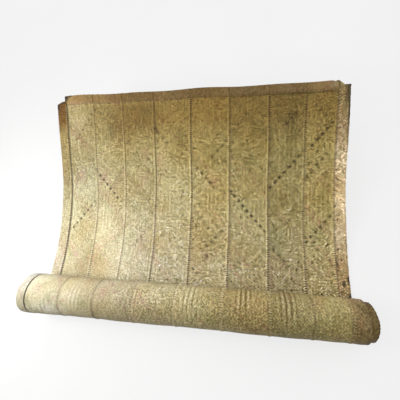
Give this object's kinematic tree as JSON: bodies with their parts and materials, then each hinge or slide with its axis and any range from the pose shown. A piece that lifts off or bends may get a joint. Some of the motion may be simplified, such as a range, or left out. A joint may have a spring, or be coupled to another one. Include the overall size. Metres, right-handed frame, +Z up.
{
  "type": "rolled raffia mat",
  "caption": "Plaited palm-leaf floor mat of sewn strips with border strips, one end wound into a roll and the other lying loose and curling up.",
  "frame": {"origin": "on the floor at the middle of the mat's width, where the outer turn of the roll leaves the floor", "axes": "+X along the roll, +Y from the roll towards the loose end, +Z up"},
  "size_m": [1.0246, 0.7538, 0.1968],
  "materials": {
    "plait": "plaited palm leaf, matt with a faint waxy sheen, khaki with olive, tan and pinkish patches",
    "border": "plaited palm leaf border strip, matt, brownish tan, worn along its edge"
  },
  "bodies": {
    "root": {"roll": "plait", "border_left": "border", "strip_1": "plait", "strip_2": "plait", "strip_3": "plait", "strip_4": "plait", "strip_5": "plait", "strip_6": "plait", "strip_7": "plait", "strip_8": "plait", "border_right": "border"}
  },
  "joints": []
}
